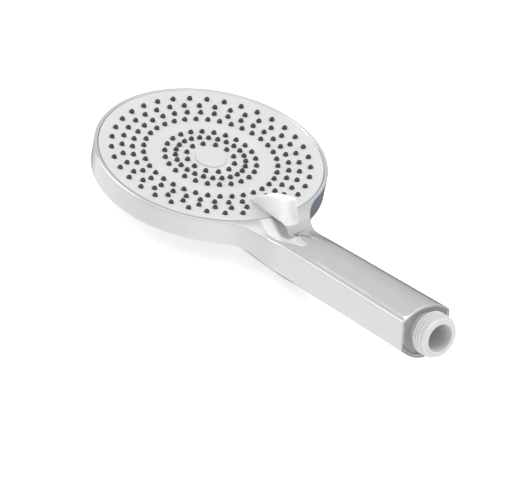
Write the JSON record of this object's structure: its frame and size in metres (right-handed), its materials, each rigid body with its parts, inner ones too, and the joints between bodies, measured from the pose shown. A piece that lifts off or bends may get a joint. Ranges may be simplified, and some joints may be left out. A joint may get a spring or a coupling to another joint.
{
  "type": "handheld shower head",
  "caption": "Round handheld shower head with a turning spray face, a selector lever, a plated handle and a threaded hose spigot.",
  "frame": {"origin": "centre of the flat on the head's back, on the head axis", "axes": "+Z along the head axis out of the spray face, +X from the head axis towards the handle's end, +Y completes a right-handed frame"},
  "size_m": [0.2455, 0.1176, 0.0524],
  "materials": {
    "body_shell": "bright chrome plating on ABS",
    "end_plate": "satin grey",
    "water_tube": "translucent white",
    "tube_o_ring": "black rubber",
    "flow_limiter": "grey plastic",
    "valve_base": "natural white",
    "base_screws": "stainless",
    "port_seals": "black rubber",
    "port_springs": "spring steel",
    "spindle_seal": "black rubber",
    "centre_screw": "stainless",
    "screw_washer": "stainless",
    "detent_spring": "spring steel",
    "detent_ball": "polished",
    "faceplate": "satin light grey",
    "selector_lever": "white",
    "nozzle_mat_outer": "dark grey-brown silicone",
    "nozzle_mat_inner": "dark grey-brown silicone",
    "spray_backplate": "natural white",
    "centre_cap": "satin light grey"
  },
  "bodies": {
    "body": {"body_shell": "body_shell", "end_plate": "end_plate", "water_tube": "water_tube", "tube_o_ring": "tube_o_ring", "flow_limiter": "flow_limiter", "valve_base": "valve_base", "base_screws": "base_screws", "port_seals": "port_seals", "port_springs": "port_springs", "spindle_seal": "spindle_seal", "centre_screw": "centre_screw", "screw_washer": "screw_washer", "detent_spring": "detent_spring"},
    "face": {"faceplate": "faceplate", "selector_lever": "selector_lever", "nozzle_mat_outer": "nozzle_mat_outer", "nozzle_mat_inner": "nozzle_mat_inner", "spray_backplate": "spray_backplate", "centre_cap": "centre_cap"},
    "detent_ball": {"detent_ball": "detent_ball"}
  },
  "joints": [
    {"name": "face_turn", "type": "hinge", "parent": "body", "child": "face", "pos_m": [0, 0, 0.0122], "axis": [0, 0, 1], "range_deg": [-30, 30]},
    {"name": "detent_slide", "type": "slide", "parent": "body", "child": "detent_ball", "axis": [0, 0, 1], "range_m": [0, 0.0006], "stiffness_N_per_m": 200, "springref_m": 0.0012, "deforming": ["detent_spring"]}
  ]
}
